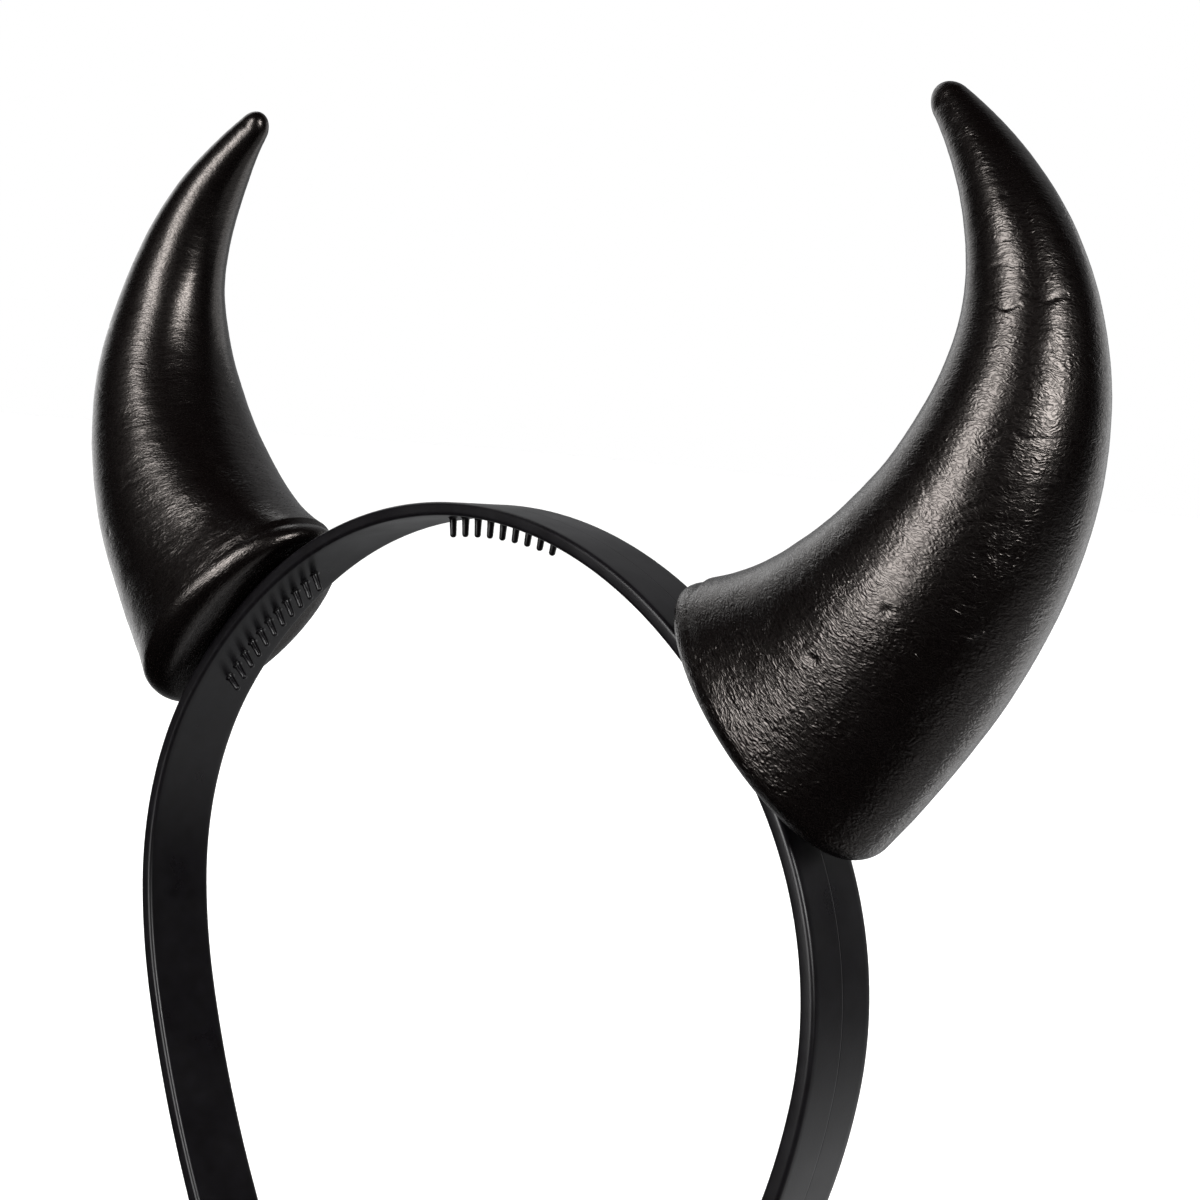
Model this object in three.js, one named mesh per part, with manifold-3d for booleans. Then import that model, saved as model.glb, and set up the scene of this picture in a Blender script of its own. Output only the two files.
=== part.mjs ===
// Devil horn headband: a springy moulded hair band with three rows of comb
// pins on its inner face, and two curved foam horns glued to its outer face.
// Millimetres, +Z up, +X to the wearer's left, the wearer looks along -Y.
// The band stands on its two cut leg ends, and the origin is on the floor
// under the middle of the whole object.

import * as THREE from 'three';
import { mergeVertices } from 'three/addons/utils/BufferGeometryUtils.js';
import Module from 'manifold-3d';

const wasm = await Module();
wasm.setup();

// Band
const HEAD_WIDTH = 122.4; // outer width where the band is widest
const LEG_LENGTH = 42; // last, nearly straight stretch of each leg
const BAND_WIDTH = 10.3; // front edge to back edge
const CROWN_THICKNESS = 1.7;
const LEG_THICKNESS = 2.4; // at the leg ends
const EDGE_ROUND = 0.5; // round along all edges of the band
const BAND_STEP = 3.5; // length of one facet along the band

// Comb pins, spaced along the band
const PIN_LENGTH = 2.6; // free length below the inner face
const PIN_THICKNESS = 0.9;
const PIN_PITCH = 2.4;
const CROWN_PINS = 9;
const SIDE_PINS = 11;
const SIDE_ROW_RUN = 51; // from the middle of the crown's row to a side row's
const COMB_SHIFT = 1.8; // middle of the comb from the crown, to the wearer's left

// Horns
const SEAT_RUN = 52.4; // from the crown to the seat, along the outer face
const GLUE_GAP = 0.3; // horn base above the band's outer face
const BASE_TO_CROWN = 20.5; // from the seat to the base's upper end
const BASE_TO_EAR = 19.9; // from the seat to the base's lower end
const BASE_DEPTH = 24.5; // front to back
const RIM_ROUND = 3.4; // round between base and wall
const TIP_HEIGHT = 57.2; // tip above the base plane
const TIP_SWEEP = 43.4; // tip from the seat towards the crown
const TIP_RADIUS = 2.35; // edge to edge half, where the round tip begins
const TIP_ROUND = 2.7; // length of the round tip
const TIP_TOE = 9; // degrees that each edge leans in where the round tip begins
const TIP_DEPTH = 4; // front to back, where the round tip begins
const TIP_LEAN = 4.5; // tip behind the middle of the band
const TIP_TURN = 94; // degrees from the base's upright to the tip's aim
const HORN_SIDES = 32;
const HORN_RINGS = 22;

// Bends of one half of the band, from the crown down to the leg: how far it
// turns, in degrees, and its radius as a share of half the head width.
const BENDS = [
  { place: 'crown', turn: 34, radius: 0.99 },
  { place: 'upper temple', turn: 21.5, radius: 1.11 },
  { place: 'temple', turn: 42, radius: 0.71 },
  { place: 'ear', turn: 12, radius: 1.115 },
];
const LEG_BEND = 2.37; // radius of the leg, as a share of half the head width

// The horn's two edges in the plane of the band: the lean of each edge where
// it leaves the base, in degrees towards the crown, and how far it runs on
// before it bends, at the root and at the tip, as shares of the tip height.
const EDGES = {
  outer: { lean: 0.7, root: 0.182, tip: 0.97 },
  inner: { lean: -45, root: 0.27, tip: 0.65 },
};

// The horn's depth along its length, as a share of the base depth. The last
// stretch runs on to the tip depth.
const DEPTHS = [
  { along: 0, share: 1 },
  { along: 0.14, share: 1.01 },
  { along: 0.3, share: 1.03 },
  { along: 0.5, share: 0.86 },
  { along: 0.7, share: 0.54 },
  { along: 0.86, share: 0.38 },
];

const blackPlastic = new THREE.MeshStandardMaterial({
  color: 0x1b1a1b,
  roughness: 0.45,
  metalness: 0,
});
const blackFoamSkin = new THREE.MeshStandardMaterial({
  color: 0x181412,
  roughness: 0.5,
  metalness: 0,
});

// Arcs of half the band as { start, length, radius, turned } in arc length
// from the crown, scaled so that the widest place is the head width.
function bandArcs() {
  const half = HEAD_WIDTH / 2;
  const arcs = [];
  let x = 0;
  let turned = 0;
  let widest = 0;
  for (const bend of BENDS) {
    const turn = THREE.MathUtils.degToRad(bend.turn);
    const end = turned + turn;
    const side = Math.min(Math.max(turned, Math.PI / 2), end);
    widest = Math.max(widest, x + bend.radius * (Math.sin(side) - Math.sin(turned)));
    x += bend.radius * (Math.sin(end) - Math.sin(turned));
    arcs.push({ turned, turn, radius: bend.radius });
    turned = end;
  }
  const scale = half / widest;
  let start = 0;
  for (const arc of arcs) {
    arc.radius *= scale;
    arc.start = start;
    arc.length = arc.turn * arc.radius;
    start += arc.length;
  }
  arcs.push({ turned, radius: LEG_BEND * half, start, length: LEG_LENGTH });
  return arcs;
}

const ARCS = bandArcs();
const HALF_RUN = ARCS.at(-1).start + ARCS.at(-1).length;

// Point of the band's outer face at a run from the crown, negative to the
// wearer's right, with the crown at the origin, and how far the band has turned there.
function bandAt(run) {
  const sign = Math.sign(run) || 1;
  const point = new THREE.Vector2();
  let turn = 0;
  for (const arc of ARCS) {
    const length = Math.min(Math.abs(run) - arc.start, arc.length);
    if (length <= 0) break;
    turn = arc.turned + length / arc.radius;
    point.x += arc.radius * (Math.sin(turn) - Math.sin(arc.turned));
    point.y += arc.radius * (Math.cos(turn) - Math.cos(arc.turned));
  }
  point.x *= sign;
  turn *= sign;
  const out = new THREE.Vector2(Math.sin(turn), Math.cos(turn));
  return { point, out, turn };
}

function thicknessAt(run) {
  return THREE.MathUtils.lerp(CROWN_THICKNESS, LEG_THICKNESS, Math.abs(run) / HALF_RUN);
}

// Closed solid from a geometry, for joining and cutting.
function solidOf(geometry) {
  const bare = geometry.clone();
  bare.deleteAttribute('normal');
  bare.deleteAttribute('uv');
  const merged = mergeVertices(bare, 1e-5);
  const corners = merged.index.array;
  const kept = [];
  for (let i = 0; i < corners.length; i += 3) {
    const [a, b, c] = corners.slice(i, i + 3);
    if (a !== b && b !== c && c !== a) kept.push(a, b, c);
  }
  const mesh = new wasm.Mesh({
    numProp: 3,
    vertProperties: new Float32Array(merged.attributes.position.array),
    triVerts: new Uint32Array(kept),
  });
  return new wasm.Manifold(mesh);
}

function geometryOf(solid) {
  const mesh = solid.getMesh();
  const geometry = new THREE.BufferGeometry();
  geometry.setAttribute('position', new THREE.BufferAttribute(mesh.vertProperties, 3));
  geometry.setIndex(new THREE.BufferAttribute(mesh.triVerts, 1));
  geometry.computeVertexNormals();
  return geometry;
}

// The bare band: its side view, a strip that follows the arcs, given its
// width front to back. The ends run on and are then cut level.
function bandStrip() {
  const steps = Math.ceil(HALF_RUN / BAND_STEP);
  const outer = [];
  const inner = [];
  for (let i = -steps; i <= steps; i++) {
    const run = (HALF_RUN * i) / steps;
    const { point, out } = bandAt(run);
    outer.push(point);
    inner.unshift(point.clone().addScaledVector(out, -thicknessAt(run)));
  }
  const strip = new THREE.ExtrudeGeometry(new THREE.Shape([...outer, ...inner]), {
    depth: BAND_WIDTH - 2 * EDGE_ROUND,
    bevelThickness: EDGE_ROUND,
    bevelSize: EDGE_ROUND,
    bevelOffset: -EDGE_ROUND,
    bevelSegments: 2,
  });
  strip.rotateX(Math.PI / 2);
  strip.translate(0, BAND_WIDTH / 2 - EDGE_ROUND, 0);
  return solidOf(strip);
}

// Height of the level cut at the leg ends, below the crown: through the
// inner corner of each end, so that the whole end face is flat.
function footHeight() {
  const { point, out } = bandAt(HALF_RUN);
  const corner = point.clone().addScaledVector(out, -LEG_THICKNESS);
  return Math.max(point.y, corner.y) + EDGE_ROUND;
}

function feetCut(strip) {
  const below = new THREE.BoxGeometry(2 * HEAD_WIDTH, 2 * BAND_WIDTH, HEAD_WIDTH);
  below.translate(0, 0, footHeight() - HEAD_WIDTH / 2);
  return strip.subtract(solidOf(below));
}

// One comb pin: a tapered round peg with a flared root and a round end,
// sunk into the band, along +Y of the profile.
function pinGeometry() {
  const half = PIN_THICKNESS / 2;
  const profile = [
    new THREE.Vector2(0, -CROWN_THICKNESS / 2),
    new THREE.Vector2(1.5 * half, -CROWN_THICKNESS / 2),
    new THREE.Vector2(1.5 * half, 0),
    new THREE.Vector2(1.05 * half, half),
    new THREE.Vector2(0.9 * half, PIN_LENGTH - 0.7 * half),
    new THREE.Vector2(0.5 * half, PIN_LENGTH),
    new THREE.Vector2(0, PIN_LENGTH),
  ];
  return new THREE.LatheGeometry(profile, 6);
}

function pinAt(run) {
  const { point, out, turn } = bandAt(run);
  const root = point.clone().addScaledVector(out, -thicknessAt(run));
  const pin = pinGeometry();
  pin.rotateX(-Math.PI / 2);
  pin.rotateY(turn);
  pin.translate(root.x, 0, root.y);
  return solidOf(pin);
}

function combRuns() {
  const rows = [
    { middle: COMB_SHIFT - SIDE_ROW_RUN, pins: SIDE_PINS },
    { middle: COMB_SHIFT, pins: CROWN_PINS },
    { middle: COMB_SHIFT + SIDE_ROW_RUN, pins: SIDE_PINS },
  ];
  const runs = [];
  for (const { middle, pins } of rows) {
    for (let i = 0; i < pins; i++) {
      runs.push(middle + (i - (pins - 1) / 2) * PIN_PITCH);
    }
  }
  return runs;
}

function headband() {
  let solid = feetCut(bandStrip());
  for (const run of combRuns()) {
    solid = solid.add(pinAt(run));
  }
  return geometryOf(solid);
}

// The two edges of the left horn in the plane of the band, from the base
// to where the round tip begins, and the tip's aim.
function hornEdges() {
  const seat = bandAt(SEAT_RUN);
  const up = seat.out;
  const down = new THREE.Vector2(up.y, -up.x);
  const aim = (degrees) => {
    const angle = THREE.MathUtils.degToRad(degrees);
    return up.clone().multiplyScalar(Math.cos(angle)).addScaledVector(down, -Math.sin(angle));
  };
  const middle = seat.point.clone().addScaledVector(up, GLUE_GAP);
  const tipAim = aim(TIP_TURN);
  const tipSide = aim(TIP_TURN - 90);
  const tip = middle.clone().addScaledVector(up, TIP_HEIGHT).addScaledVector(down, -TIP_SWEEP);
  tip.addScaledVector(tipAim, -TIP_ROUND);
  const edge = (shape, fromSeat, side) => {
    const start = middle.clone().addScaledVector(down, fromSeat);
    const end = tip.clone().addScaledVector(tipSide, side * TIP_RADIUS);
    return new THREE.CubicBezierCurve(
      start,
      start.clone().addScaledVector(aim(shape.lean), shape.root * TIP_HEIGHT),
      end.clone().addScaledVector(aim(TIP_TURN + side * TIP_TOE), -shape.tip * TIP_HEIGHT),
      end,
    );
  };
  return {
    outer: edge(EDGES.outer, BASE_TO_EAR, 1),
    inner: edge(EDGES.inner, -BASE_TO_CROWN, -1),
    up,
    aim,
    tipAim,
  };
}

// Half the horn's depth at a share of its length, on a smooth curve through
// the rows of the table.
function depthCurve() {
  const points = DEPTHS.map((row) => new THREE.Vector2(row.along, row.share * BASE_DEPTH));
  points.push(new THREE.Vector2(1, TIP_DEPTH));
  const curve = new THREE.SplineCurve(points);
  return (along) => {
    const last = points.length - 1;
    let row = 0;
    while (row < last - 1 && points[row + 1].x < along) row++;
    const share = (along - points[row].x) / (points[row + 1].x - points[row].x);
    return curve.getPoint((row + share) / last).y / 2;
  };
}

// Sections of the left horn from the middle of its base to its tip. Each
// is an oval with a centre, a half height along the line from the inner to
// the outer edge, and a half depth front to back.
function hornSections() {
  const { outer, inner, up, aim, tipAim } = hornEdges();
  const halfDepth = depthCurve();
  const sections = [];
  const section = (low, high, depth, along, inset) => {
    const across = high.clone().sub(low);
    const half = across.length() / 2;
    sections.push({
      centre: low.clone().lerp(high, 0.5),
      across: across.normalize(),
      half: half - inset,
      depth: depth - inset,
      back: TIP_LEAN * along,
    });
  };
  const outerStart = aim(EDGES.outer.lean);
  const innerStart = aim(EDGES.inner.lean);
  const rimSteps = 6;
  for (let i = 0; i <= rimSteps; i++) {
    const angle = (i / rimSteps) * (Math.PI / 2);
    const rise = RIM_ROUND * (1 - Math.cos(angle));
    const inset = RIM_ROUND * (1 - Math.sin(angle));
    const low = inner.v0.clone().addScaledVector(innerStart, rise / innerStart.dot(up));
    const high = outer.v0.clone().addScaledVector(outerStart, rise / outerStart.dot(up));
    section(low, high, halfDepth(0), 0, inset);
  }
  const first = (1.3 * RIM_ROUND) / innerStart.dot(up) / inner.getLength();
  for (let i = 0; i <= HORN_RINGS; i++) {
    const along = THREE.MathUtils.lerp(first, 1, i / HORN_RINGS);
    section(inner.getPointAt(along), outer.getPointAt(along), halfDepth(along), along, 0);
  }
  const end = sections.at(-1);
  const tipSteps = 4;
  const toe = THREE.MathUtils.degToRad(TIP_TOE);
  const reach = TIP_ROUND / (1 - Math.sin(toe));
  for (let i = 1; i < tipSteps; i++) {
    const angle = THREE.MathUtils.lerp(toe, Math.PI / 2, i / tipSteps);
    const ahead = reach * (Math.sin(angle) - Math.sin(toe));
    const share = Math.cos(angle) / Math.cos(toe);
    sections.push({
      ...end,
      centre: end.centre.clone().addScaledVector(tipAim, ahead),
      half: end.half * share,
      depth: end.depth * share,
    });
  }
  const apex = end.centre.clone().addScaledVector(tipAim, TIP_ROUND);
  return [
    { ...sections[0], half: 0, depth: 0 },
    ...sections,
    { ...end, centre: apex, half: 0, depth: 0 },
  ];
}

// The left horn: a lathe of round rings, one for each section, whose rings
// are then laid on the sections.
function leftHorn() {
  const sections = hornSections();
  const rings = sections.map((section, row) => new THREE.Vector2(section.half > 0 ? 1 : 0, row));
  const horn = new THREE.LatheGeometry(rings, HORN_SIDES);
  const position = horn.attributes.position;
  for (let i = 0; i < position.count; i++) {
    const section = sections[Math.round(position.getY(i))];
    const across = position.getZ(i) * section.half;
    const deep = position.getX(i) * section.depth;
    const x = section.centre.x + section.across.x * across;
    const z = section.centre.y + section.across.y * across;
    position.setXYZ(i, x, section.back + deep, z);
  }
  return geometryOf(solidOf(horn));
}

function mirrored(geometry) {
  const copy = geometry.clone().scale(-1, 1, 1);
  const corners = copy.index.array;
  for (let i = 0; i < corners.length; i += 3) {
    [corners[i], corners[i + 1]] = [corners[i + 1], corners[i]];
  }
  copy.computeVertexNormals();
  return copy;
}

function named(name, geometry, material) {
  const mesh = new THREE.Mesh(geometry, material);
  mesh.name = name;
  return mesh;
}

const horn = leftHorn();
const pieces = new THREE.Group();
pieces.add(named('headband', headband(), blackPlastic));
pieces.add(named('horn_left', horn, blackFoamSkin));
pieces.add(named('horn_right', mirrored(horn), blackFoamSkin.clone()));

const bounds = new THREE.Box3().setFromObject(pieces);
const centre = bounds.getCenter(new THREE.Vector3());
pieces.position.set(-centre.x, -centre.y, -bounds.min.z);

const model = new THREE.Group();
model.add(pieces);

export default model;
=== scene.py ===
# %% [markdown]
# # A devil horn headband, dressed for the camera
# The real object is a springy moulded hair band with small comb pins inside
# it, and two foam horns with a leather-like skin glued to its outer face.
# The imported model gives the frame. Each piece that is seen is modelled again
# here with finer forms, in metres, in the same place as the solid it covers.

import math

import bmesh
import bpy
import numpy as np
from mathutils import Matrix, Quaternion, Vector, noise


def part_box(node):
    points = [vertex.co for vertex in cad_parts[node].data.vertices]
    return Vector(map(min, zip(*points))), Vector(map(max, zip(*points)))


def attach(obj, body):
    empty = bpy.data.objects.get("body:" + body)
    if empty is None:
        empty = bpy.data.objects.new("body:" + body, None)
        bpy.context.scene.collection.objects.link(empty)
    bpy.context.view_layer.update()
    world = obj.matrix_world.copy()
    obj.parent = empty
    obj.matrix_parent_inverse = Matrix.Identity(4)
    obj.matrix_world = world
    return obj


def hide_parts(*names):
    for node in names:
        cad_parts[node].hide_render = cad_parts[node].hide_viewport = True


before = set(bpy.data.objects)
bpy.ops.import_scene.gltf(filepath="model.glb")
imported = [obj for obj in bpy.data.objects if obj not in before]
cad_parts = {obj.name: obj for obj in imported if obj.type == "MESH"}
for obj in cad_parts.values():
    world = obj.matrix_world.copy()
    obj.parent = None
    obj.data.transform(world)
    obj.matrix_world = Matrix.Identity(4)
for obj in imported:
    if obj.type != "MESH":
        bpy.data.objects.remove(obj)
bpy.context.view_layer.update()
MM = 0.001
print("nodes", sorted(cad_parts))

# %% [markdown]
# ## Two helpers for materials
# Colours are given as sRGB hex values, but the renderer works in
# linear light, so one function turns them over. A second one adds a node,
# sets its values and joins its inputs, which keeps each material readable.

# %% Colour and node helpers
def linear(hex_colour):
    """Linear RGBA of an sRGB hex colour."""
    parts = [int(hex_colour[i:i + 2], 16) / 255 for i in (1, 3, 5)]
    straight = [c / 12.92 if c <= 0.04045 else ((c + 0.055) / 1.055) ** 2.4 for c in parts]
    return straight + [1.0]


def add_node(tree, kind, settings=None, **links):
    """New node: settings are its properties or unlinked inputs, links join its inputs.

    A link is named after its input, or _0, _1 and so on after the input's place.
    """
    node = tree.nodes.new(kind)
    for name, value in (settings or {}).items():
        if isinstance(name, str) and hasattr(node, name):
            setattr(node, name, value)
        else:
            node.inputs[name].default_value = value
    for name, source in links.items():
        socket = node.inputs[int(name[1:])] if name[1:].isdigit() else node.inputs[name]
        tree.links.new(source, socket)
    return node


print("mid grey #808080 is", [round(c, 3) for c in linear("#808080")[:3]], "in linear light")

# %% [markdown]
# ## The line of the band
# Seen from the front, a hair band is a chain of arcs: a wide crown, a
# tighter bend at each temple and nearly straight legs. A curve object could
# be bent to that line by eye. Arcs come closer to how the mould was drawn, and
# walking along them gives any point of the outer face and which way is out.

# %% Band sizes and its line
HEAD_WIDTH = 122.4
LEG_LENGTH = 42
BAND_WIDTH = 10.3
CROWN_THICKNESS = 1.7
LEG_THICKNESS = 2.4
# Bends from the crown down, in degrees and relative radius, later scaled to the head width.
BENDS = [(34, 0.99), (21.5, 1.11), (42, 0.71), (12, 1.115)]
LEG_BEND = 2.37  # radius of the legs' slight bend, in half head widths

band_low, band_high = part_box("headband")
CROWN = np.array([0.0, (band_low[1] + band_high[1]) / 2, band_high[2]]) / MM


def band_arcs():
    """Arcs of half the band as (start, length, radius, angle already turned)."""
    half = HEAD_WIDTH / 2
    x = turned = widest = 0.0
    arcs = []
    for degrees, radius in BENDS:
        end = turned + math.radians(degrees)
        side = min(max(turned, math.pi / 2), end)
        widest = max(widest, x + radius * (math.sin(side) - math.sin(turned)))
        x += radius * (math.sin(end) - math.sin(turned))
        arcs.append((turned, end - turned, radius))
        turned = end
    start = 0.0
    chain = []
    for before, turn, radius in arcs:
        radius *= half / widest
        chain.append((start, turn * radius, radius, before))
        start += turn * radius
    chain.append((start, float(LEG_LENGTH), LEG_BEND * half, turned))
    return chain


ARCS = band_arcs()
HALF_RUN = ARCS[-1][0] + ARCS[-1][1]


def band_at(run):
    """x, z and turn of the outer face at runs in mm from the crown, crown at 0, 0."""
    run = np.asarray(run, dtype=float)
    far = np.abs(run)
    x = np.zeros_like(far)
    z = np.zeros_like(far)
    turn = np.zeros_like(far)
    for i, (start, length, radius, before) in enumerate(ARCS):
        last = i == len(ARCS) - 1
        here = np.clip(far - start, 0, None if last else length)
        angle = before + here / radius
        turn = np.where(far > start, angle, turn)
        x = x + radius * (np.sin(angle) - math.sin(before))
        z = z + radius * (np.cos(angle) - math.cos(before))
    sign = np.where(run < 0, -1.0, 1.0)
    return x * sign, z, turn * sign


print("half of the band is", round(HALF_RUN, 1), "mm along its outer face")

# %% [markdown]
# ## The camera
# The photograph looks at the headband from its front left, a little above
# the crown, through a long lens and slightly rolled. A camera can be aimed by
# hand, but its place and turn were worked out from the band's two edges. It
# comes before the pieces, so that each one is judged from the right place.

# %% Camera
CAMERA_FROM_CROWN = Vector((216.43, -207.51, 11.08))
AZIMUTH, ELEVATION, ROLL = (math.radians(v) for v in (43.528, 4.164, 4.974))
FOCAL_LENGTH = 71.98

back = Vector((
    math.sin(AZIMUTH) * math.cos(ELEVATION),
    -math.cos(AZIMUTH) * math.cos(ELEVATION),
    math.sin(ELEVATION),
))
level = Vector((math.cos(AZIMUTH), math.sin(AZIMUTH), 0.0))
upright = back.cross(level)
right = level * math.cos(ROLL) + upright * math.sin(ROLL)
up = upright * math.cos(ROLL) - level * math.sin(ROLL)

lens = bpy.data.cameras.new("portrait_lens")
lens.sensor_fit = "HORIZONTAL"
lens.sensor_width = 36.0
lens.lens = FOCAL_LENGTH
lens.clip_start = 0.01
lens.dof.use_dof = False
camera = bpy.data.objects.new("camera", lens)
bpy.context.scene.collection.objects.link(camera)
pose = Matrix((right, up, back)).transposed().to_4x4()
pose.translation = (Vector(CROWN) + CAMERA_FROM_CROWN) * MM
camera.matrix_world = pose
bpy.context.scene.camera = camera
print("camera at", [round(v, 3) for v in camera.location], "m")

# %% [markdown]
# ## From rings of points to a mesh
# Band, pins and horns are all lofts: rings of points laid along a line, closed
# at the ends with a fan. Modifiers on a curve could give plain ones. Rings of
# points allow any section anywhere, so one helper turns them into a mesh.

# %% Loft helper
def loft(name, rings):
    """Closed mesh from an array of rings of points in mm from the crown, with both ends closed."""
    count, around, _ = rings.shape
    points = ((rings.reshape(-1, 3) + CROWN) * MM).tolist()
    index = np.arange(count * around).reshape(count, around)
    here = index[:-1]
    after = index[1:]
    faces = np.stack([here, np.roll(here, -1, 1), np.roll(after, -1, 1), after], -1)
    faces = faces.reshape(-1, 4).tolist()
    for ring, turn in ((index[0], -1), (index[-1], 1)):
        middle = len(points)
        points.append(np.mean([points[i] for i in ring], axis=0).tolist())
        for a, b in zip(ring, np.roll(ring, -1)):
            faces.append([int(a), int(b), middle][::turn])
    mesh = bpy.data.meshes.new(name)
    mesh.from_pydata(points, [], faces)
    tidy = bmesh.new()
    tidy.from_mesh(mesh)
    bmesh.ops.recalc_face_normals(tidy, faces=tidy.faces)
    tidy.to_mesh(mesh)
    tidy.free()
    mesh.polygons.foreach_set("use_smooth", [True] * len(mesh.polygons))
    piece = bpy.data.objects.new(name, mesh)
    bpy.context.scene.collection.objects.link(piece)
    return piece


def triangles(piece):
    return sum(len(face.vertices) - 2 for face in piece.data.polygons)


# %% [markdown]
# ## The band moulding
# The band is injection moulded in one go with its comb. Its section is a
# flat strip with rounded corners. The two halves of the mould met along the
# middle of the outer face, which leaves a hair-thin step and groove there.
# A bevelled curve could give the strip, but not that line. So the section is
# drawn point by point, with a point close beside the groove on either side,
# which keeps the smooth shading from spreading it over the flat face.

# %% Band section
CORNER = 0.55
CORNER_POINTS = 7
PARTING_STEP = 0.006
PARTING_GROOVE = 0.02
PARTING_WIDTH = 0.07


def band_section(thickness):
    """Points of the section as (distance outward from the outer face, y), once round."""
    half = BAND_WIDTH / 2
    points = []

    def corner(out, y, first):
        for turn in np.linspace(0, 90, CORNER_POINTS):
            angle = math.radians(first + turn)
            points.append((out + CORNER * math.cos(angle), y + CORNER * math.sin(angle)))

    def across(out, start, end, count):
        for i in range(1, count):
            points.append((out, start + (end - start) * i / count))

    flat = half - CORNER
    # Beside the groove: the guarding points outside it, and its bed within.
    guard = 1.6 * PARTING_WIDTH
    bed = 0.3 * PARTING_WIDTH
    across(0.0, -flat, -guard, 8)
    points.append((0.0, -guard))
    points.append((0.0, -PARTING_WIDTH))
    points.append((-PARTING_GROOVE, -bed))
    points.append((-PARTING_GROOVE, bed))
    points.append((-PARTING_STEP, PARTING_WIDTH))
    points.append((-PARTING_STEP, guard))
    across(-PARTING_STEP, guard, flat, 8)
    corner(-CORNER, flat, 0)
    across(-thickness / 2, flat + CORNER, flat + CORNER, 2)
    corner(CORNER - thickness, flat, 90)
    across(-thickness, flat, -flat, 14)
    corner(CORNER - thickness, -flat, 180)
    across(-thickness / 2, -half, -half, 2)
    corner(-CORNER, -flat, 270)
    return np.array(points)


print("points round the section:", len(band_section(2.0)))

# %% [markdown]
# ## Sweeping the section along the line
# The section is laid across the line every 0.6 mm. A real leg end is cut
# level. A boolean cut would leave a ragged mesh there, so each line of the
# sweep is led down to the same height above the floor instead, and a few
# shrinking rings round the cut's edge and close it.

# %% Sweep the band
FOOT = CROWN[2]
END_ROUND = 0.25
RING_STEP = 0.6


def thickness_at(run):
    return CROWN_THICKNESS + (LEG_THICKNESS - CROWN_THICKNESS) * np.abs(run) / HALF_RUN


def on_band(run, section):
    """Points in mm from the crown for runs and matching (out, y) pairs."""
    x, z, turn = band_at(run)
    out = section[..., 0]
    return np.stack([x + np.sin(turn) * out, section[..., 1], z + np.cos(turn) * out], -1)


def foot_run(out, height):
    """Run at which a line held at a distance outward comes down to a height above the floor."""
    # It lies within 12 mm before and 6 mm past the end of the line.
    low = np.full(out.shape, HALF_RUN - 12.0)
    high = np.full(out.shape, HALF_RUN + 6.0)
    # Halving the stretch 40 times finds the place far finer than it needs to be.
    for _ in range(40):
        middle = (low + high) / 2
        x, z, turn = band_at(middle)
        above = z + np.cos(turn) * out + FOOT > height
        low = np.where(above, middle, low)
        high = np.where(above, high, middle)
    return low


leg_section = band_section(LEG_THICKNESS)
ends = foot_run(leg_section[:, 0], END_ROUND)
steps = int(HALF_RUN / RING_STEP)
rings = []
for i in range(-steps, steps + 1):
    share = i / steps
    run = ends * share
    section = band_section(float(thickness_at(HALF_RUN * share)))
    rings.append(on_band(run, section))

for end in (0, -1):
    last = rings[end]
    inward = last.mean(axis=0) - last
    inward /= np.linalg.norm(inward, axis=1, keepdims=True)
    # How far each ring goes down and inward, in shares of the rounding.
    for drop, inset in ((0.6, 0.12), (0.9, 0.45), (1.0, 1.0)):
        pulled = last + inward * inset * END_ROUND
        pulled[:, 2] = END_ROUND * (1 - drop) - FOOT
        if end == 0:
            rings.insert(0, pulled)
        else:
            rings.append(pulled)
band = loft("headband_moulding", np.array(rings))
print("band", triangles(band), "triangles")

# %% [markdown]
# ## The comb pins
# Three rows of pins grip the hair: one under the crown and one under each
# horn. A moulded pin is a tapered peg with a small fillet at its root and a
# round end. One pin could be copied by an array, but the rows bend with the
# band, so each pin is turned from one profile in its own place. They join the
# band's mesh, since the real comb and band are one moulding.

# %% Comb pins
PIN_LENGTH = 2.6
PIN_THICKNESS = 0.9
PIN_PITCH = 2.4
COMB_SHIFT = 1.8
SIDE_ROW_RUN = 51
# Middle of each row along the band, and how many pins it has.
COMB_ROWS = [(COMB_SHIFT - SIDE_ROW_RUN, 11), (COMB_SHIFT, 9), (COMB_SHIFT + SIDE_ROW_RUN, 11)]


def pin_profile():
    """Radius and length of the pin from inside the band to its round end."""
    half = PIN_THICKNESS / 2
    # The fillet, in shares of the pin's radius and mm from the band's inner face.
    fillet = [(1.75, -0.35), (1.75, -0.02), (1.4, 0.07), (1.18, 0.2), (1.06, 0.42)]
    profile = [(share * half, length) for share, length in fillet]
    slim = 0.9 * half
    dome = 0.8 * half
    profile += [(0.98 * half, 1.1), (slim, PIN_LENGTH - dome)]
    for i in range(1, 5):
        angle = math.radians(90 * i / 5)
        profile.append((slim * math.cos(angle), PIN_LENGTH - dome + dome * math.sin(angle)))
    return profile


def pin_rings(run, around=14):
    """Rings of one pin that stands on the inner face at a run along the band."""
    x, z, turn = (float(v) for v in band_at(run))
    outward = np.array([math.sin(turn), 0.0, math.cos(turn)])
    along = np.array([math.cos(turn), 0.0, -math.sin(turn)])
    across = np.array([0.0, 1.0, 0.0])
    root = np.array([x, 0.0, z]) - thickness_at(run) * outward
    angles = np.linspace(0, 2 * math.pi, around, endpoint=False)[:, None]
    circle = np.cos(angles) * along + np.sin(angles) * across
    return np.array([root - outward * length + radius * circle for radius, length in pin_profile()])


pins = []
for middle, count in COMB_ROWS:
    for i in range(count):
        pins.append(loft("comb_pin", pin_rings(middle + (i - (count - 1) / 2) * PIN_PITCH)))

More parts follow.
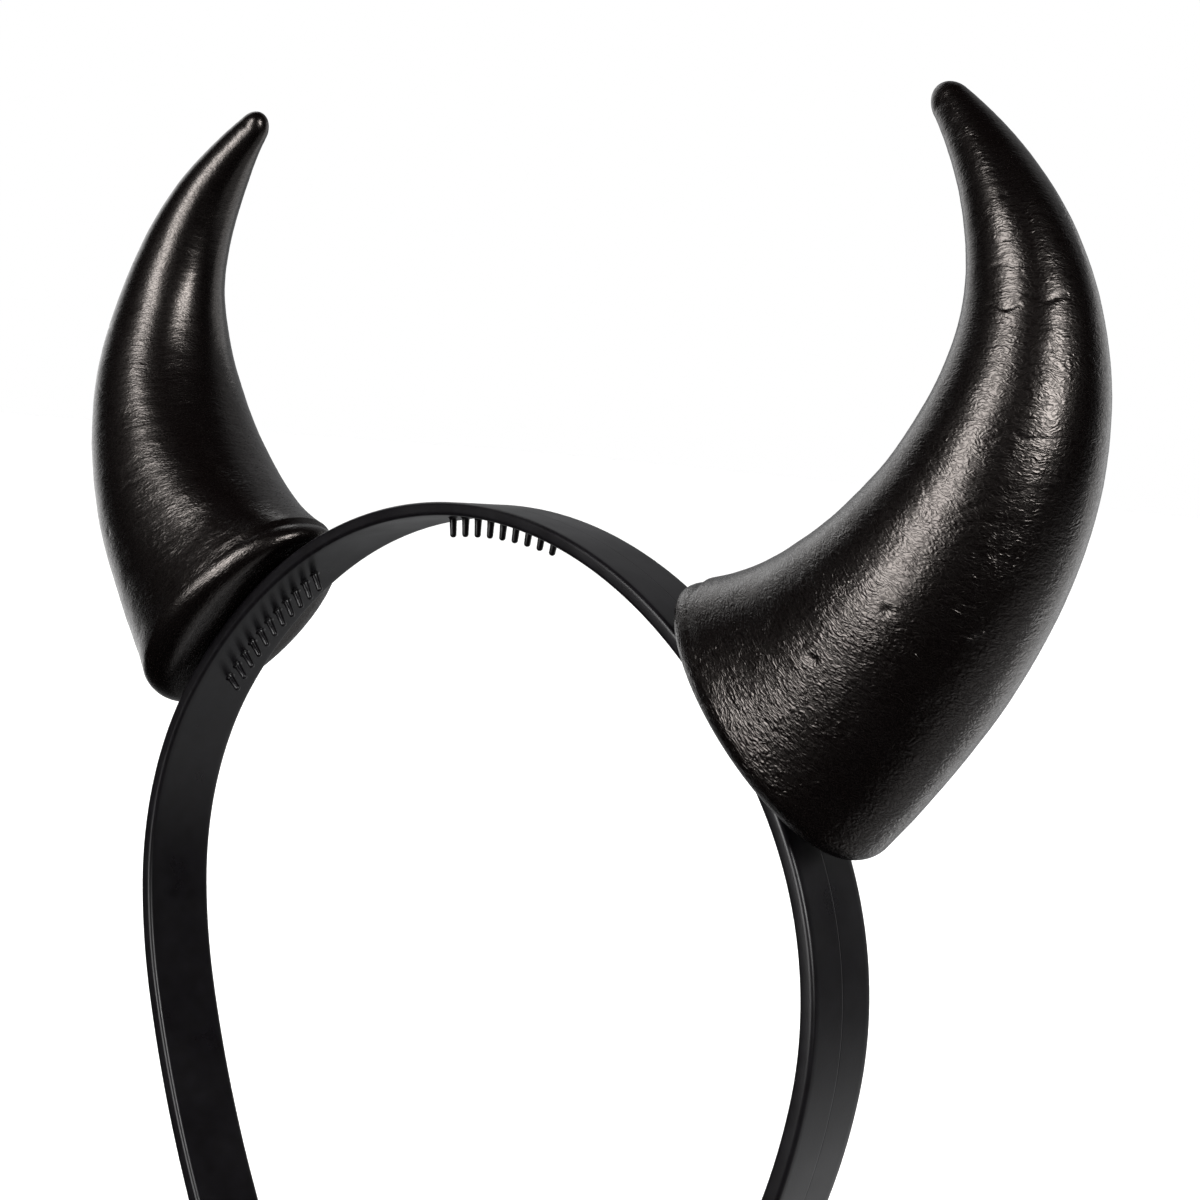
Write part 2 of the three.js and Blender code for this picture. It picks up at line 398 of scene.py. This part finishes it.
with bpy.context.temp_override(active_object=band, selected_editable_objects=[band, *pins]):
    bpy.ops.object.join()
print("band with", len(pins), "pins:", triangles(band), "triangles")

# %% [markdown]
# ## The line of a horn
# In the plane of the band a horn lies between two edges: the outer one leans
# away and curls over, the inner one sweeps up from the crown. Each is one
# Bezier curve. Ovals laid across from edge to edge, with their own depth
# front to back, give the swelling body and the slim curled tip. Sculpting
# would do as well, but a few lengths and angles are easier to correct.

# %% Horn edges
SEAT_RUN = 52.4  # along the band, from the crown to the middle of the horn's base
GLUE_GAP = 0.3
BASE_TO_CROWN = 20.5  # from that middle to the two edges of the base
BASE_TO_EAR = 19.9
BASE_DEPTH = 24.5
RIM_ROUND = 3.4
TIP_HEIGHT = 57.2
TIP_SWEEP = 43.4
TIP_RADIUS = 2.35
TIP_ROUND = 2.7
TIP_TOE = 9
TIP_DEPTH = 4
TIP_LEAN = 4.5
TIP_TURN = 94
# Each edge's lean at its root in degrees, and its pulls at root and tip in tip heights.
OUTER_EDGE = {"lean": 0.7, "root": 0.182, "tip": 0.97}
INNER_EDGE = {"lean": -45, "root": 0.27, "tip": 0.65}
# Shares of the way up the horn, and of the base's depth there.
DEPTHS = [(0, 1), (0.14, 1.01), (0.3, 1.03), (0.5, 0.86), (0.7, 0.54), (0.86, 0.38)]

seat_x, seat_z, seat_turn = (float(v) for v in band_at(SEAT_RUN))
seat_up = np.array([math.sin(seat_turn), math.cos(seat_turn)])
seat_down = np.array([seat_up[1], -seat_up[0]])
seat_middle = np.array([seat_x, seat_z]) + GLUE_GAP * seat_up


def aim(degrees):
    """Direction in the band's plane, turned from the base's upright towards the crown."""
    angle = math.radians(degrees)
    return seat_up * math.cos(angle) - seat_down * math.sin(angle)


tip_aim = aim(TIP_TURN)
tip_root = seat_middle + TIP_HEIGHT * seat_up - TIP_SWEEP * seat_down - TIP_ROUND * tip_aim


def horn_edge(shape, from_seat, side):
    """Fine points of an edge and the arc length at each."""
    start = seat_middle + from_seat * seat_down
    end = tip_root + side * TIP_RADIUS * aim(TIP_TURN - 90)
    pulls = [
        start,
        start + shape["root"] * TIP_HEIGHT * aim(shape["lean"]),
        end - shape["tip"] * TIP_HEIGHT * aim(TIP_TURN + side * TIP_TOE),
        end,
    ]
    t = np.linspace(0, 1, 2001)[:, None]
    weights = [(1 - t) ** 3, 3 * (1 - t) ** 2 * t, 3 * (1 - t) * t ** 2, t ** 3]
    points = sum(w * p for w, p in zip(weights, pulls))
    length = np.concatenate([[0], np.cumsum(np.linalg.norm(np.diff(points, axis=0), axis=1))])
    return points, length


outer_edge = horn_edge(OUTER_EDGE, BASE_TO_EAR, 1)
inner_edge = horn_edge(INNER_EDGE, -BASE_TO_CROWN, -1)
for name, edge in (("outer", outer_edge), ("inner", inner_edge)):
    print(name, "edge", round(edge[1][-1], 1), "mm")

# %% [markdown]
# ## Ovals from base to tip
# The base is flat, with a soft rim where the foam rounded off in its mould.
# The rim's ovals grow outward while they rise, the body's ovals follow the
# two edges, and the tip's ovals shrink to a dome.

# %% Horn ovals
AROUND = 200
BODY_RINGS = 440
RIM_RINGS = 16
TIP_RINGS = 16
CROWDING = 0.93  # below 1, so that the rings lie closer towards the tip


def edge_at(edge, share):
    points, length = edge
    where = np.asarray(share) * length[-1]
    return np.stack([np.interp(where, length, points[:, axis]) for axis in (0, 1)], -1)


def depth_at(share):
    """Half the depth in mm on a smooth curve through the table."""
    rows = np.array([[a, s * BASE_DEPTH] for a, s in DEPTHS] + [[1, TIP_DEPTH]])
    slopes = np.gradient(rows[:, 1], rows[:, 0])
    i = np.clip(np.searchsorted(rows[:, 0], share) - 1, 0, len(rows) - 2)
    wide = rows[i + 1, 0] - rows[i, 0]
    t = (share - rows[i, 0]) / wide
    low, high = rows[i, 1], rows[i + 1, 1]
    value = (2 * t ** 3 - 3 * t ** 2 + 1) * low + (t ** 3 - 2 * t ** 2 + t) * wide * slopes[i]
    value += (3 * t ** 2 - 2 * t ** 3) * high + (t ** 3 - t ** 2) * wide * slopes[i + 1]
    return value / 2


def horn_ovals():
    """Rows of (low x, low z, high x, high z, half depth, inset, lean, length along the horn)."""
    rows = []
    outer_start, inner_start = aim(OUTER_EDGE["lean"]), aim(INNER_EDGE["lean"])
    base_low, base_high = inner_edge[0][0], outer_edge[0][0]
    for i in range(RIM_RINGS + 1):
        angle = math.radians(90 * i / RIM_RINGS)
        rise = RIM_ROUND * (1 - math.cos(angle))
        low = base_low + rise / inner_start.dot(seat_up) * inner_start
        high = base_high + rise / outer_start.dot(seat_up) * outer_start
        inset = RIM_ROUND * (1 - math.sin(angle))
        rows.append((*low, *high, depth_at(0.0), inset, 0.0, RIM_ROUND * (angle - math.pi / 2)))
    rim_top = (low + high) / 2
    # The body's ovals start just above the rim's last one.
    first = RIM_ROUND / inner_start.dot(seat_up) / inner_edge[1][-1] + 0.004
    shares = first + (1 - first) * np.linspace(0, 1, BODY_RINGS) ** CROWDING
    middle = (edge_at(inner_edge, shares) + edge_at(outer_edge, shares)) / 2
    along = np.cumsum(np.linalg.norm(np.diff(middle, axis=0, prepend=[rim_top]), axis=1))
    for share, length in zip(shares, along):
        low, high = edge_at(inner_edge, share), edge_at(outer_edge, share)
        rows.append((*low, *high, depth_at(share), 0.0, TIP_LEAN * share, length))
    return np.array(rows), along[-1]


ovals, body_length = horn_ovals()
print(len(ovals), "ovals along", round(body_length, 1), "mm of body")

# %% [markdown]
# ## Rings, and a straightened copy of the horn
# Each oval becomes a ring of points. Beside it goes the same point on a
# straightened horn of round section, which is kept on the mesh. Grain that
# is laid out on the straight horn follows the real one's curve, keeps its
# size in millimetres and has no seam.

# %% Horn rings
def horn_rings():
    """Rings of points in mm from the crown, and the same points on the straightened horn."""
    angle = np.linspace(0, 2 * math.pi, AROUND, endpoint=False)
    rings, bars = [], []

    def ring(centre, across, half, depth, lean, length):
        flat = half * np.cos(angle)
        deep = depth * np.sin(angle)
        x = centre[0] + across[0] * flat
        z = centre[1] + across[1] * flat
        rings.append(np.stack([x, lean + deep, z], -1))
        radius = (half + depth) / 2
        upward = np.full(AROUND, length)
        bars.append(np.stack([radius * np.cos(angle), radius * np.sin(angle), upward], -1))

    for low_x, low_z, high_x, high_z, depth, inset, lean, length in ovals:
        low, high = np.array([low_x, low_z]), np.array([high_x, high_z])
        half = np.linalg.norm(high - low) / 2
        across = (high - low) / (2 * half)
        centre = (low + high) / 2
        ring(centre, across, half - inset, depth - inset, lean, length)
    # The dome takes over from the body at the slant that the edges have there.
    toe = math.radians(TIP_TOE)
    reach = TIP_ROUND / (1 - math.sin(toe))
    for i in range(1, TIP_RINGS):
        turned = toe + (math.pi / 2 - toe) * i / TIP_RINGS
        ahead = reach * (math.sin(turned) - math.sin(toe))
        shrink = math.cos(turned) / math.cos(toe)
        further = TIP_RADIUS * (turned - toe)
        tip = centre + ahead * tip_aim
        ring(tip, across, half * shrink, depth * shrink, lean, length + further)
    base = rings[0]
    for share in (0.86, 0.6, 0.3):
        rings.insert(0, base.mean(axis=0) + (base - base.mean(axis=0)) * share)
        # On the straight horn, the base's rings go on downward, 2.5 mm apart.
        bars.insert(0, bars[0] * [0.8, 0.8, 1] - [0, 0, 2.5])
    return np.array(rings), np.array(bars)


rings, bars = horn_rings()
print("horn rings", rings.shape)

# %% [markdown]
# ## Wrinkles in the skin
# Self-skinned foam shrinks a little as it cools, so its skin is never quite
# smooth. It has slow swells, dents a few millimetres wide and low wrinkles
# that run round the horn. A displace modifier could move the points too, but
# numbers for each point are easy to print and keep the same size each run.
# The leather grain, some 0.3 mm apart, is left to the material.

# %% Wrinkle field
SWELL = 0.08  # heights in mm: swells some 9 mm wide,
DENT = 0.028  # dents some 3 mm wide,
FURROW = 0.016  # and wrinkles 1 mm apart and 4 mm long


def wrinkles(bars_mm, seed):
    """Height of the skin in mm at points of the straightened horn."""
    flat = bars_mm.reshape(-1, 3)
    out = np.zeros(len(flat))
    for i, (x, y, s) in enumerate(flat):
        s += seed
        slow = noise.noise(Vector((x * 0.11, y * 0.11, s * 0.13)))
        dent = noise.noise(Vector((x * 0.36, y * 0.36, s * 0.42 + 11)))
        bend = noise.noise(Vector((x * 0.3, y * 0.3, s * 0.3 + 40)))
        ridge = noise.noise(Vector((x * 0.24, y * 0.24, s * 1.15 + bend * 0.9)))
        out[i] = SWELL * slow + DENT * dent - FURROW * (1 - abs(ridge)) ** 3
    return out.reshape(bars_mm.shape[:-1])


left_wrinkles, right_wrinkles = (wrinkles(bars, seed) for seed in (0.0, 300.0))
print("wrinkles rise and fall by", round(float(np.ptp(left_wrinkles)), 2), "mm")

# %% [markdown]
# ## Single creases and pits
# Where a horn was bent in the hand its skin kept a crease, and where a gas
# bubble broke under the skin it left a pit. The left horn has them in plain
# sight. They could be drawn with a sculpting brush. A short list can be read
# and corrected: each mark has its bearing round the horn, where 0 is the outer
# edge and -90 the front, and its distance up from the rim.

# %% Creases and pits
# Middle bearing in degrees, length, distance from the rim, slope, half width, depth.
LEFT_CREASES = [
    (-83, 4.6, 54.2, 0.03, 0.24, 0.125),
    (-46, 5.6, 55.0, 0.08, 0.32, 0.08),
    (-84, 4.0, 58.4, 0.0, 0.24, 0.05),
    (-72, 3.0, 61.4, 0.1, 0.24, 0.06),
    (-68, 4.0, 41.2, 0.8, 0.24, 0.06),
    (-51, 5.5, 42.2, -0.12, 0.24, 0.07),
    (-60, 3.6, 35.3, 1.0, 0.24, 0.06),
    (-50, 3.6, 36.8, 0.25, 0.24, 0.06),
    (-55, 5.0, 33.6, 0.5, 0.24, 0.06),
    (-44, 4.2, 31.3, 0.2, 0.24, 0.05),
    (-50, 5.2, 26.4, 0.1, 0.26, 0.05),
    (-76, 9.0, 4.3, 0.16, 0.22, 0.04),
    (-54, 6.5, 20.3, -0.1, 0.26, 0.05),
    (-88, 6.0, 34.2, -0.8, 0.24, 0.04),
]
# Bearing in degrees, distance from the rim, radius, depth.
LEFT_PITS = [
    (-83, 13.2, 0.5, 0.23),
    (-72, 22.3, 0.45, 0.18),
    (-91, 13.6, 0.35, 0.12),
    (-64, 66.0, 0.35, 0.07),
]
RIGHT_CREASES = [
    (-58, 6.0, 47.0, 0.06, 0.3, 0.07),
    (-75, 5.0, 38.0, 0.3, 0.26, 0.05),
    (-100, 7.0, 21.0, -0.1, 0.3, 0.05),
]
RIGHT_PITS = [(-70, 17.0, 0.45, 0.09)]


def marks(bars_mm, creases, pits):
    """Depth in mm of creases and pits at points of the straightened horn."""
    def around_from(middle):
        return np.radians((bearing - middle + 180) % 360 - 180) * radius

    bearing = np.degrees(np.arctan2(bars_mm[..., 1], bars_mm[..., 0]))
    radius = np.hypot(bars_mm[..., 0], bars_mm[..., 1])
    s = bars_mm[..., 2]
    depth = np.zeros(s.shape)
    for middle, length, at, slope, wide, deep in creases:
        side = around_from(middle)
        # The crease wavers by a quarter of a millimetre and fades out at both ends.
        line = at + slope * side + 0.26 * np.sin(side * 1.7 + at)
        fade = np.clip(1 - (side / (length / 2)) ** 2, 0, 1)
        depth += deep * fade * np.exp(-((s - line) / wide) ** 2)
    for middle, at, size, deep in pits:
        side = around_from(middle)
        depth += deep * np.exp(-(side ** 2 + (s - at) ** 2) / size ** 2)
    return depth


left_marks = marks(bars, LEFT_CREASES, LEFT_PITS)
right_marks = marks(bars, RIGHT_CREASES, RIGHT_PITS)
print("deepest mark", round(float(left_marks.max()), 2), "mm")

# %% [markdown]
# ## Both horns
# The relief moves each point along the surface normal and fades out at the
# base and the tip. A mirror modifier could make the right horn, but it would
# copy every mark. So the right horn mirrors the left one's form alone, and
# each casting has its own wrinkles, marks and grain.

# %% Push the relief in and build both horns
def pushed(rings, depth):
    """Rings moved inward along their surface normals by a depth in mm."""
    along = np.gradient(rings, axis=0)
    around = (np.roll(rings, -1, 1) - np.roll(rings, 1, 1)) / 2
    normal = np.cross(around, along)
    size = np.linalg.norm(normal, axis=2, keepdims=True)
    normal = normal / np.maximum(size, 1e-9)
    middle = rings.mean(axis=1, keepdims=True)
    facing = np.sign(((rings - middle) * normal).sum(axis=2).mean())
    return rings - facing * normal * depth[..., None]


def horn(name, side, relief, grain_shift):
    """Horn on one side: 1 for the wearer's left, -1 for the right, a mirror image."""
    up = bars[..., 2]
    # No relief at the base's edge and the very tip, and all of it 4 and 3 mm further in.
    quiet = np.clip((up + 4) / 4, 0, 1) * np.clip((up.max() - up) / 3, 0, 1)
    piece = loft(name, pushed(rings, relief * quiet) * np.array([side, 1.0, 1.0]))
    ends = np.array([[0, 0, bars[0, 0, 2]], [0, 0, bars[-1, 0, 2]]])
    bar = np.concatenate([bars.reshape(-1, 3), ends]) + np.array([grain_shift, 0.0, 0.0])
    layout = piece.data.attributes.new("straight_mm", "FLOAT_VECTOR", "POINT")
    layout.data.foreach_set("vector", bar.astype(np.float32).ravel())
    return piece


left_horn = horn("left_horn_skin", 1, left_marks - left_wrinkles, 0.0)
right_horn = horn("right_horn_skin", -1, right_marks - right_wrinkles, 70.0)
print("each horn", triangles(left_horn), "triangles")

# %% [markdown]
# ## Ride and replace
# Every piece rides on the one body of the model and takes the place of the
# solid that it covers. The horns are foam all through.

# %% Ride and replace
for piece, node, finish in (
    (band, "headband", "moulded_band"),
    (left_horn, "horn_left", "foam_skin"),
    (right_horn, "horn_right", "foam_skin"),
):
    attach(piece, "root")
    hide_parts(node)
print("pieces", [piece.name for piece in (band, left_horn, right_horn)])

# %% [markdown]
# ## Moulded ABS
# Hair bands of this kind are ABS or a similar tough plastic, dyed black all
# through and moulded against a finely blasted steel. The eye sees a satin
# black with soft reflections, a very fine tooth and faint clouds of tone.
# All of it is noise in the object's own coordinates, so it needs no layout.

# %% Band plastic
def moulded_black_abs():
    material = bpy.data.materials.new("moulded_black_abs")
    material.use_nodes = True
    tree = material.node_tree
    shader = tree.nodes["Principled BSDF"]
    shader.inputs["IOR"].default_value = 1.53
    shader.inputs["Metallic"].default_value = 0.0
    shader.inputs["Specular IOR Level"].default_value = 0.22
    place = add_node(tree, "ShaderNodeTexCoord").outputs["Object"]
    # Slight clouds in the black, some 2 mm wide, where the melt flowed together.
    flow = add_node(tree, "ShaderNodeTexNoise", {"Scale": 480.0, "Detail": 3.0}, Vector=place)
    tint = add_node(tree, "ShaderNodeValToRGB", Fac=flow.outputs["Fac"])
    tint.color_ramp.elements[0].position = 0.3
    tint.color_ramp.elements[0].color = linear("#050405")
    tint.color_ramp.elements[1].position = 0.7
    tint.color_ramp.elements[1].color = linear("#080709")
    tree.links.new(tint.outputs["Color"], shader.inputs["Base Color"])
    # Cloudy gloss over some 6 mm, as fingers and the mould leave it.
    cloud = add_node(tree, "ShaderNodeTexNoise", {"Scale": 160.0, "Detail": 4.0}, Vector=place)
    gloss = add_node(
        tree, "ShaderNodeMapRange",
        {"From Min": 0.3, "From Max": 0.7, "To Min": 0.27, "To Max": 0.36},
        Value=cloud.outputs["Fac"],
    )
    tree.links.new(gloss.outputs["Result"], shader.inputs["Roughness"])
    # The blasted tooth is 0.05 mm wide on the real steel, drawn at 0.25 mm so that it shows.
    tooth = add_node(tree, "ShaderNodeTexNoise", {"Scale": 4000.0, "Detail": 2.0}, Vector=place)
    bump = add_node(
        tree, "ShaderNodeBump", {"Strength": 0.12, "Distance": 0.05 * MM},
        Height=tooth.outputs["Fac"],
    )
    tree.links.new(bump.outputs["Normal"], shader.inputs["Normal"])
    return material


band.data.materials.clear()
band.data.materials.append(moulded_black_abs())
print("band finish", band.data.materials[0].name)

# %% [markdown]
# ## The leather-like relief
# The horns' mould was grained like leather, and its fine creases run round
# the horn. An image of leather would need a flat layout and would show its
# seam. Instead, noise is folded about its middle value, which turns its
# clouds into a net of creases. It is read on the straightened horn, so the
# grain follows the curl, and a noise of scale 1 has clouds of about 1 mm.

# %% Creases of the skin
WRINKLE_HEIGHT = 0.022
GRAIN_HEIGHT = 0.055


def folded(tree, place, scale, detail):
    """Distance of a noise from its middle value: 0 in the creases of a net."""
    net = add_node(tree, "ShaderNodeTexNoise", {"Scale": scale, "Detail": detail}, Vector=place)
    middle = add_node(
        tree, "ShaderNodeMath", {"operation": "SUBTRACT", 1: 0.5}, _0=net.outputs["Fac"],
    )
    fold = add_node(tree, "ShaderNodeMath", {"operation": "ABSOLUTE"}, _0=middle.outputs["Value"])
    return fold.outputs["Value"]


def skin_grain(tree, bar):
    """Heights in mm of the wrinkles and of the fine grain."""
    # The places wander by half a millimetre, so that no wrinkle runs dead straight.
    wander = add_node(tree, "ShaderNodeTexNoise", {"Scale": 0.5, "Detail": 2.0}, Vector=bar)
    bent = add_node(
        tree, "ShaderNodeVectorMath", {"operation": "MULTIPLY_ADD", 1: (1.1, 1.1, 1.1)},
        _0=wander.outputs["Color"], _2=bar,
    ).outputs["Vector"]

    # Wrinkles about 1 mm apart and 4 mm long.
    long_way = add_node(tree, "ShaderNodeMapping", {"Scale": (0.25, 0.25, 1.0)}, Vector=bent)
    wrinkle = add_node(
        tree, "ShaderNodeMapRange",
        {"interpolation_type": "SMOOTHERSTEP", "From Max": 0.1, "To Max": WRINKLE_HEIGHT},
        Value=folded(tree, long_way.outputs["Vector"], 1.0, 1.5),
    )

    # Leather grain: creases 0.3 mm apart along the horn and 0.8 mm long round it.
    short_way = add_node(tree, "ShaderNodeMapping", {"Scale": (0.42, 0.42, 1.0)}, Vector=bent)
    grain = add_node(
        tree, "ShaderNodeMapRange", {"From Max": 0.3, "To Max": GRAIN_HEIGHT},
        Value=folded(tree, short_way.outputs["Vector"], 3.0, 1.5),
    )
    return wrinkle.outputs["Result"], grain.outputs["Result"]


print("wrinkles", WRINKLE_HEIGHT, "mm high, grain", GRAIN_HEIGHT, "mm")

# %% [markdown]
# ## Wear of the relief
# A mould's grain is never evenly deep, and it rubs out first where hands hold
# the horn. Painting that by hand would be slow and would differ on each horn.
# A slow noise and the height up the horn scale the relief instead.

# %% Worn relief
def worn_relief(tree, bar, wrinkle, grain, freshness):
    """Wrinkles and grain together, rubbed out in places and flatter towards the slim end."""
    # Deep in some places and half rubbed out in others, some 5 mm wide.
    worn = add_node(tree, "ShaderNodeTexNoise", {"Scale": 0.2, "Detail": 2.0}, Vector=bar)
    depth = add_node(
        tree, "ShaderNodeMapRange",
        {"From Min": 0.35, "From Max": 0.65, "To Min": 0.5, "To Max": 1.0},
        Value=worn.outputs["Fac"],
    ).outputs["Result"]
    # Full from the base to 15 mm up the horn, and half as deep from 55 mm up.
    height = add_node(tree, "ShaderNodeSeparateXYZ", _0=bar).outputs["Z"]
    slim = add_node(
        tree, "ShaderNodeMapRange",
        {"From Min": 15.0, "From Max": 55.0, "To Min": freshness, "To Max": 0.48 * freshness},
        Value=height,
    ).outputs["Result"]
    relief = add_node(tree, "ShaderNodeMath", {"operation": "ADD"}, _0=wrinkle, _1=grain)
    for share in (depth, slim):
        relief = add_node(
            tree, "ShaderNodeMath", {"operation": "MULTIPLY"}, _0=relief.outputs["Value"], _1=share,
        )
    return relief.outputs["Value"]


print("relief halves towards the slim end")

# %% [markdown]
# ## Self-skinned polyurethane foam
# The horns are foamed in a closed mould, where the foam's outside sets to a
# dense skin. The eye sees brownish black with grey-beige highlights that the
# grain breaks up. One roughness all over would look like wet paint, so the
# creases stay dull while the tops shine, and a painted shade in the creases
# lowers their reflection. The right horn shows a softer grain than the left
# one, so it gets a skin of its own.

# %% Horn skin
def black_foam_skin(name, freshness):
    material = bpy.data.materials.new(name)
    material.use_nodes = True
    tree = material.node_tree
    shader = tree.nodes["Principled BSDF"]
    shader.inputs["IOR"].default_value = 1.5
    shader.inputs["Metallic"].default_value = 0.0
    # About the mean of the painted crease shade below, for a viewer that
    # can't follow its nodes.
    shader.inputs["Specular IOR Level"].default_value = 0.4
    shader.inputs["Specular Tint"].default_value = linear("#fff4ed")
    bar = add_node(tree, "ShaderNodeAttribute", {"attribute_name": "straight_mm"}).outputs["Vector"]
    wrinkle, grain = skin_grain(tree, bar)

    # Skin tone: brown-black with slightly warmer clouds some 5 mm wide.
    cloud = add_node(tree, "ShaderNodeTexNoise", {"Scale": 0.18, "Detail": 5.0}, Vector=bar)
    tone = add_node(tree, "ShaderNodeValToRGB", Fac=cloud.outputs["Fac"])
    tone.color_ramp.elements[0].position = 0.32
    tone.color_ramp.elements[0].color = linear("#020101")
    tone.color_ramp.elements[1].position = 0.68
    tone.color_ramp.elements[1].color = linear("#030202")
    tree.links.new(tone.outputs["Color"], shader.inputs["Base Color"])

    # The creases are rougher, and the tops between them shine more.
    gloss = add_node(
        tree, "ShaderNodeMapRange", {"From Max": 0.02, "To Min": 0.3, "To Max": 0.22}, Value=grain,
    )
    tree.links.new(gloss.outputs["Result"], shader.inputs["Roughness"])
    # Painted shade: the creases reflect less, for the shade that the bump doesn't cast.
    painted_crease_shade = add_node(
        tree, "ShaderNodeMapRange", {"From Max": 0.012, "To Min": 0.25, "To Max": 0.5}, Value=grain,
    )
    tree.links.new(painted_crease_shade.outputs["Result"], shader.inputs["Specular IOR Level"])

    # The relief is in millimetres, and the bump takes metres.
    relief = worn_relief(tree, bar, wrinkle, grain, freshness)
    bump = add_node(tree, "ShaderNodeBump", {"Distance": MM}, Height=relief)
    tree.links.new(bump.outputs["Normal"], shader.inputs["Normal"])
    return material


for piece, name, freshness in (
    (left_horn, "self_skinned_foam", 1.0),
    (right_horn, "self_skinned_foam_softer_grain", 0.5),
):
    piece.data.materials.clear()
    piece.data.materials.append(black_foam_skin(name, freshness))
    print(piece.name, "finish", name)

# %% [markdown]
# ## A floor of pale paper
# A plain white sweep is how such things are photographed. A curved sheet
# behind the object would do, but a large flat one keeps the floor level in
# every view. Reflections and shadows leave it out, since the surroundings
# stand in for the light that it throws up.

# %% Floor
FLOOR_HALF = 6.0


def pale_paper():
    material = bpy.data.materials.new("pale_paper")
    material.use_nodes = True
    tree = material.node_tree
    shader = tree.nodes["Principled BSDF"]
    shader.inputs["Roughness"].default_value = 0.9
    shader.inputs["Specular IOR Level"].default_value = 0.1
    place = add_node(tree, "ShaderNodeTexCoord").outputs["Object"]
    # Paper fibres, some 1 mm long.
    fibre = add_node(tree, "ShaderNodeTexNoise", {"Scale": 900.0, "Detail": 2.0}, Vector=place)
    tint = add_node(tree, "ShaderNodeValToRGB", Fac=fibre.outputs["Fac"])
    tint.color_ramp.elements[0].color = linear("#f0f0ef")
    tint.color_ramp.elements[1].color = linear("#f5f5f4")
    tree.links.new(tint.outputs["Color"], shader.inputs["Base Color"])
    return material


corners = [(x * FLOOR_HALF, y * FLOOR_HALF, 0) for x, y in ((-1, -1), (1, -1), (1, 1), (-1, 1))]
mesh = bpy.data.meshes.new("floor")
mesh.from_pydata(corners, [], [(0, 1, 2, 3)])
floor = bpy.data.objects.new("floor", mesh)
bpy.context.scene.collection.objects.link(floor)
mesh.materials.append(pale_paper())
floor.visible_glossy = False
floor.visible_shadow = False
print("floor", 2 * FLOOR_HALF, "m square")

# %% [markdown]
# ## Surroundings
# A studio is dark but for its backdrop, and a black gloss shows just that.
# The camera sees plain white, while reflections see a room that is lit only
# behind the headband, across from the camera, and by the paper behind and
# below. An image of a studio could do it, but two soft patches are enough.

# %% Surroundings
def glow(tree, bearing, towards, start, full, dark, bright):
    """Soft patch of light towards a direction, from the cosines where it starts and is full."""
    facing = add_node(
        tree, "ShaderNodeVectorMath", {"operation": "DOT_PRODUCT", 1: towards}, _0=bearing,
    ).outputs["Value"]
    return add_node(
        tree, "ShaderNodeMapRange",
        {
            "interpolation_type": "SMOOTHSTEP",
            "From Min": start, "From Max": full, "To Min": dark, "To Max": bright,
        },
        Value=facing,
    ).outputs["Result"]


world = bpy.data.worlds.new("studio")
bpy.context.scene.world = world
world.use_nodes = True
tree = world.node_tree
tree.nodes.clear()
bearing = add_node(tree, "ShaderNodeTexCoord").outputs["Generated"]
backdrop = glow(tree, bearing, (-0.42, 0.903, 0.087), 0.4, 0.68, 0.004, 0.33)
paper = glow(tree, bearing, (0.4, 0.56, -0.73), 0.72, 0.98, 0.0, 0.55)
both = add_node(tree, "ShaderNodeMath", {"operation": "ADD"}, _0=backdrop, _1=paper)
seen = add_node(tree, "ShaderNodeBackground", {"Color": linear("#ffffff"), "Strength": 1.0})
felt = add_node(
    tree, "ShaderNodeBackground", {"Color": linear("#f3f4f6")}, Strength=both.outputs["Value"],
)
ray = add_node(tree, "ShaderNodeLightPath")
mix = add_node(
    tree, "ShaderNodeMixShader",
    _0=ray.outputs["Is Camera Ray"], _1=felt.outputs["Background"], _2=seen.outputs["Background"],
)
add_node(tree, "ShaderNodeOutputWorld", Surface=mix.outputs["Shader"])
bpy.context.scene.view_settings.view_transform = "Standard"
print("view transform", bpy.context.scene.view_settings.view_transform)

# %% [markdown]
# ## Soft boxes, cards and a top light
# On a black gloss form the lights are seen more than the form itself. The
# long streak down each horn is a tall key box in front, to the camera's left,
# with a weaker box below it for the broad base. The second streak is a tilted
# strip at the camera's right. Two dim cards draw the grey rims. Their bearings
# were worked out by reflecting the line of sight at each streak. A broad
# light overhead only whitens the floor, so it shows in no reflection.

# %% Lights
TARGET = Vector((0.0, 0.0, 0.11))
OVERHEAD_STRENGTH = 3.7
OVERHEAD_SPREAD = math.radians(100)


def soft_box(name, azimuth, elevation, distance, width, height, radiance, lean=0.0):
    """Rectangular light, facing the horns from a bearing: 0 in front, 90 at the wearer's left."""
    light = bpy.data.lights.new(name, "AREA")
    light.shape = "RECTANGLE"
    light.size = width
    light.size_y = height
    light.energy = radiance * math.pi * width * height
    around, above = math.radians(azimuth), math.radians(elevation)
    sideways = math.cos(above)
    away = Vector((math.sin(around) * sideways, -math.cos(around) * sideways, math.sin(above)))
    lamp = bpy.data.objects.new(name, light)
    bpy.context.scene.collection.objects.link(lamp)
    lamp.location = TARGET + away * distance
    turned = away.to_track_quat("Z", "Y") @ Quaternion((0.0, 0.0, 1.0), math.radians(lean))
    lamp.rotation_euler = turned.to_euler()
    lamp.visible_camera = False
    return lamp


soft_box("key_box", -10, 21, 1.5, 0.54, 0.92, 16.0)
soft_box("low_key_box", -10, -3, 1.5, 0.9, 0.44, 9.5)
soft_box("side_strip", 70, 22, 1.4, 0.42, 0.8, 22.0, lean=33)
soft_box("left_rim_card", -104, 14, 1.2, 0.8, 1.5, 1.1)
soft_box("right_rim_card", 172, -8, 1.2, 0.95, 1.5, 0.85)
sky = bpy.data.lights.new("overhead", "SUN")
sky.energy = OVERHEAD_STRENGTH
sky.angle = OVERHEAD_SPREAD
overhead = bpy.data.objects.new("overhead", sky)
overhead.visible_glossy = False
bpy.context.scene.collection.objects.link(overhead)
